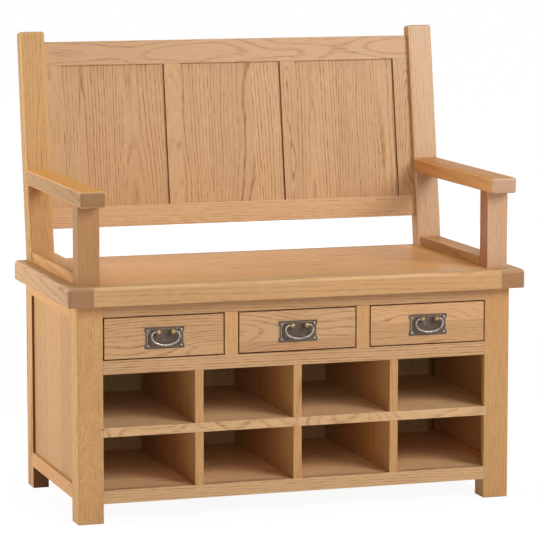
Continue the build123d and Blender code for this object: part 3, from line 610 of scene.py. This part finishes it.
# Painted shade, warmer in colour, on the sides of the right back post.
painted_shade_right_post_sides = shading_on_sides(1.08, 0.98, 0.78)
board("right_back_post", RAKED, LONG, ROSY, figure=0.5, **painted_shade_right_post_sides)
board("crest_rail", LONG, RAKED, FAWN, figure=0.45, pores=0.6, ring_width=0.008, waver=0.07, **flames)
board("back_lower_rail", LONG, RAKED, WHEAT, figure=0.5)
# Dark painted shade on the sides of the uprights, in the recess beside each panel.
painted_groove_shade = shading_on_sides(0.36, 0.23, 0.13)
own_stave = {"stave_width": UPRIGHT_PITCH, "shift": UPRIGHT_PITCH * UPRIGHT_STAVES}
wavy = {"plain": 0.85, "ring_width": 0.006, "waver": 0.12}
board("back_uprights", RAKED, LONG, STRAW, figure=1.0, **own_stave, **wavy, **flames, **painted_groove_shade)
arches = {"stave_width": 0.104, "ring_width": 0.0068, "heart": 0.03, "spread": 0.2, "waver": 0.03}
board("back_panels", RAKED, LONG, PANEL, figure=1.1, pores=1.3, **arches)
print("back dressed, raked", round(math.degrees(RAKE), 1), "degrees")

# %% [markdown]
# ## Drawers
#
# The left front is one board. The middle and right ones are glued from two boards of different
# tone: the shift puts the joint at its height and picks the two staves, and the contrast says how
# far their tones lie apart. The rounded edges of the fronts carry dark painted shade, so that the
# gap round each drawer reads as a line.

# %% Drawers
PLACES = ("left", "middle", "right")
SAND = (195, 160, 120)
# Painted shade for the rounded edges of the drawer fronts, the gap round each drawer.
GAP_PAINTED_SHADE = (0.50, 0.36, 0.24, 1.0)
DRAWER_BOARDS = (
    {"pale": OAT, "stave_width": 0.2, "figure": 1.1},
    {"pale": SAND, "stave_width": 0.09, "shift": 0.024, "figure": 0.7, "contrast": 5.0},
    {"pale": OAT, "stave_width": 0.09, "shift": 0.68, "figure": 0.5, "contrast": 2.5},
)

for place, streaks in zip(PLACES, DRAWER_BOARDS):
    board(f"{place}_drawer_front", LONG, TALL, heart=0.03, waver=0.07, edge_tint=GAP_PAINTED_SHADE, **streaks)
    board(f"{place}_drawer_sides", DEEP, TALL, STRAW)
    board(f"{place}_drawer_back", LONG, TALL, STRAW)
    board(f"{place}_drawer_bottom", LONG, DEEP, OLIVE, stave_width=0.3)
print("drawers dressed:", len(PLACES))

# %% [markdown]
# ## Handled metal
#
# The handles are cast plates with a dark pewter patina. Fingers have rubbed the bail bright, and
# the ball posts show antique brass. One group makes the patina: cloudy oxide in broad patches
# with a fine cast grain. Oxide is a dull crust rather than bare metal, so the group also says how
# metallic a point is. Each metal then picks its own two colours.

# %% Patina as a node group
PATINA_INPUTS = [
    ("Vector", VECTOR, (0, 0, 0)),
    ("Worn", COLOUR, (1, 1, 1, 1)),
    ("Oxide", COLOUR, (0, 0, 0, 1)),
    ("Cover", FLOAT, 0.5),
    # The fifth input brightens worn places; on the plate it also carries a painted highlight.
    ("Wear And Highlight", FLOAT, 0.0),
    ("Smooth", FLOAT, 0.3),
]
PATINA_OUTPUTS = [("Color", COLOUR), ("Roughness", FLOAT), ("Metallic", FLOAT), ("Height", FLOAT)]
PATCHES = 130.0
CAST_GRAIN = 900.0


def make_patina_group():
    tree, given, result = new_group("patina", PATINA_INPUTS, PATINA_OUTPUTS)
    cloud = noise(tree, given["Vector"], (PATCHES, PATCHES, PATCHES), 3.0, 0.6)
    grit = noise(tree, given["Vector"], (CAST_GRAIN, CAST_GRAIN, CAST_GRAIN), 2.0, 0.6)
    mixed = calc(tree, "MULTIPLY_ADD", grit, 0.35, calc(tree, "MULTIPLY", cloud, 0.65))
    edge = calc(tree, "SUBTRACT", 1.0, given["Cover"])
    edge = calc(tree, "MULTIPLY_ADD", given["Wear And Highlight"], 0.4, edge)
    oxide = ramp(tree, calc(tree, "SUBTRACT", mixed, edge), -0.16, 0.16)
    fill(tree, result["Color"], blend(tree, oxide, given["Worn"], given["Oxide"]))
    fill(tree, result["Roughness"], calc(tree, "MULTIPLY_ADD", oxide, 0.26, given["Smooth"]))
    fill(tree, result["Metallic"], calc(tree, "MULTIPLY_ADD", oxide, -0.8, 1.0))
    fill(tree, result["Height"], mixed)
    return tree


patina_group = make_patina_group()
print("patina group:", len(patina_group.nodes), "nodes")

# %% Plate, bail and ball posts
CAST_RELIEF = 0.3
CAST_DEPTH = 0.0004
METAL_SHEEN = 0.2


def handled_metal(name, worn, oxide, cover, smooth):
    finish = bpy.data.materials.new(name)
    finish.use_nodes = True
    tree = finish.node_tree
    shader = tree.nodes["Principled BSDF"]
    coat = tree.nodes.new("ShaderNodeGroup")
    coat.node_tree = patina_group
    tree.links.new(tree.nodes.new("ShaderNodeTexCoord").outputs["Object"], coat.inputs["Vector"])
    coat.inputs["Worn"].default_value = paint(*worn)
    coat.inputs["Oxide"].default_value = paint(*oxide)
    coat.inputs["Cover"].default_value = cover
    coat.inputs["Smooth"].default_value = smooth
    relief = tree.nodes.new("ShaderNodeBump")
    relief.inputs["Strength"].default_value = CAST_RELIEF
    relief.inputs["Distance"].default_value = CAST_DEPTH
    tree.links.new(coat.outputs["Height"], relief.inputs["Height"])
    tree.links.new(coat.outputs["Color"], shader.inputs["Base Color"])
    tree.links.new(coat.outputs["Roughness"], shader.inputs["Roughness"])
    tree.links.new(relief.outputs["Normal"], shader.inputs["Normal"])
    tree.links.new(coat.outputs["Metallic"], shader.inputs["Metallic"])
    shader.inputs["Specular IOR Level"].default_value = METAL_SHEEN
    return finish


dark_plate = handled_metal("dark_pewter_plate", (168, 158, 145), (94, 79, 66), 0.68, 0.42)
bright_bail = handled_metal("rubbed_bail", (172, 164, 156), (104, 96, 89), 0.46, 0.30)
old_brass = handled_metal("antique_brass", (164, 142, 106), (108, 90, 64), 0.45, 0.38)
for place in PLACES:
    dress(f"{place}_handle_plate", dark_plate)
    dress(f"{place}_handle_posts", old_brass)
    dress(f"{place}_bail", bright_bail)
print("handles dressed:", len(PLACES))

# %% [markdown]
# ### Worn edges of the plate, with a painted highlight
#
# Fingers and polish reach the edges of the plate and the heads of its pins first. The edges turn
# away from the front, and the pin heads stand proud of the plate's face, so both can be told from
# the surface's direction and its place. Both are painted brighter, partly as worn metal and partly
# as a painted highlight.

# %% Worn edges and painted highlight of the plate
PLATE_FACE = -0.25133
PIN_LOW = PLATE_FACE - 0.0002
PIN_HIGH = PLATE_FACE - 0.0008

tree = dark_plate.node_tree
spot = tree.nodes.new("ShaderNodeTexCoord").outputs
# Edges and pin heads: worn metal and a painted highlight.
bevel = ramp(tree, vector(tree, "DOT_PRODUCT", spot["Normal"], FRONT), 0.75, 0.95, 1.0, 0.0)
proud = ramp(tree, split(tree, spot["Object"])[1], PIN_HIGH, PIN_LOW, 1.0, 0.0)
coat = next(node for node in tree.nodes if node.type == "GROUP")
fill(tree, coat.inputs["Wear And Highlight"], calc(tree, "MAXIMUM", bevel, proud))
print("plate nodes:", len(tree.nodes))

# %% [markdown]
# ## The studio
#
# The photograph has a white sweep and soft light. The floor and the world show white to the lens
# and to shiny metal by the Light Path, and light the bench at a plain level. A white floor that is
# only lit would need so much light that the bench would burn out. The floor keeps a small share of
# its own shading, so the shadow of the bench stays on it.

# %% Floor
FLOOR_SIZE = 60.0
FLOOR_KEEPS_SHADOW = 0.12
NEAR_GLOW = 1.055
NEAR_REACH = 1.5
FAR_GLOW = 1.13
FAR_REACH = 6.0


def seen_directly(tree):
    """1 where a ray comes from the lens, a mirror-like surface or glass, and 0 for diffuse light."""
    rays = tree.nodes.new("ShaderNodeLightPath").outputs
    seen = calc(tree, "MAXIMUM", rays["Is Camera Ray"], rays["Is Glossy Ray"])
    return calc(tree, "MAXIMUM", seen, rays["Is Transmission Ray"])


shape = bmesh.new()
bmesh.ops.create_grid(shape, x_segments=1, y_segments=1, size=FLOOR_SIZE / 2)
floor_mesh = bpy.data.meshes.new("studio_floor")
shape.to_mesh(floor_mesh)
shape.free()
floor = bpy.data.objects.new("studio_floor", floor_mesh)
bpy.context.scene.collection.objects.link(floor)

paper = bpy.data.materials.new("white_sweep")
paper.use_nodes = True
tree = paper.node_tree
tree.nodes.clear()
matt = tree.nodes.new("ShaderNodeBsdfDiffuse")
matt.inputs["Color"].default_value = paint(240, 240, 240)
glow = tree.nodes.new("ShaderNodeEmission")
away = vector(tree, "LENGTH", tree.nodes.new("ShaderNodeTexCoord").outputs["Object"])
fill(tree, glow.inputs["Strength"], ramp(tree, away, NEAR_REACH, FAR_REACH, NEAR_GLOW, FAR_GLOW))
mixed = tree.nodes.new("ShaderNodeMixShader")
share = calc(tree, "MULTIPLY", seen_directly(tree), 1.0 - FLOOR_KEEPS_SHADOW)
tree.links.new(share, mixed.inputs["Fac"])
tree.links.new(matt.outputs[0], mixed.inputs[1])
tree.links.new(glow.outputs[0], mixed.inputs[2])
tree.links.new(mixed.outputs[0], tree.nodes.new("ShaderNodeOutputMaterial").inputs["Surface"])
floor_mesh.materials.append(paper)
print("floor:", FLOOR_SIZE, "m")

# %% World
AMBIENT = 0.02

world = bpy.data.worlds.new("studio")
world.use_nodes = True
bpy.context.scene.world = world
tree = world.node_tree
tree.nodes.clear()
white = tree.nodes.new("ShaderNodeBackground")
white.inputs["Color"].default_value = (1.0, 1.0, 1.0, 1.0)
soft = tree.nodes.new("ShaderNodeBackground")
soft.inputs["Color"].default_value = (1.0, 1.0, 1.0, 1.0)
soft.inputs["Strength"].default_value = AMBIENT
mixed = tree.nodes.new("ShaderNodeMixShader")
tree.links.new(seen_directly(tree), mixed.inputs["Fac"])
tree.links.new(soft.outputs[0], mixed.inputs[1])
tree.links.new(white.outputs[0], mixed.inputs[2])
tree.links.new(mixed.outputs[0], tree.nodes.new("ShaderNodeOutputWorld").inputs["Surface"])
print("ambient light:", AMBIENT)

# %% [markdown]
# ### Soft boxes
#
# Five soft boxes light the bench: a broad key from the front right that reaches into the cubbies,
# a large fill from the front, a small one on the left that lights the side of the base, one
# overhead for the seat and arms, and one behind for views of the rear, which is hidden from shiny
# surfaces. Area lamps are used because their size decides how soft a shadow is.

# %% Soft boxes
bench_middle = (cad_box[0] + cad_box[1]) / 2


def soft_box(name, azimuth, elevation, distance, size, power, mirrored=True):
    """A square soft box aimed at the bench. Azimuth 0 is in front and 90 on the right."""
    lamp = bpy.data.lights.new(name, "AREA")
    lamp.size = size
    lamp.energy = power
    holder = bpy.data.objects.new(name, lamp)
    turn = math.radians(azimuth)
    rise = math.radians(elevation)
    away = Vector((math.sin(turn) * math.cos(rise), -math.cos(turn) * math.cos(rise), math.sin(rise)))
    holder.location = bench_middle + away * distance
    holder.rotation_euler = (-away).to_track_quat("-Z", "Y").to_euler()
    holder.visible_glossy = mirrored
    bpy.context.scene.collection.objects.link(holder)


soft_box("key_box", azimuth=31.0, elevation=29.0, distance=5.0, size=2.2, power=155.0)
soft_box("front_fill", azimuth=-8.0, elevation=13.0, distance=5.0, size=3.2, power=57.0)
soft_box("left_fill", azimuth=-106.0, elevation=12.0, distance=2.2, size=0.8, power=26.5)
soft_box("overhead", azimuth=0.0, elevation=89.9, distance=4.0, size=1.6, power=61.0)
soft_box("back_fill", azimuth=152.0, elevation=8.0, distance=5.0, size=2.5, power=75.0, mirrored=False)
print("soft boxes aimed at", tuple(round(v, 3) for v in bench_middle))
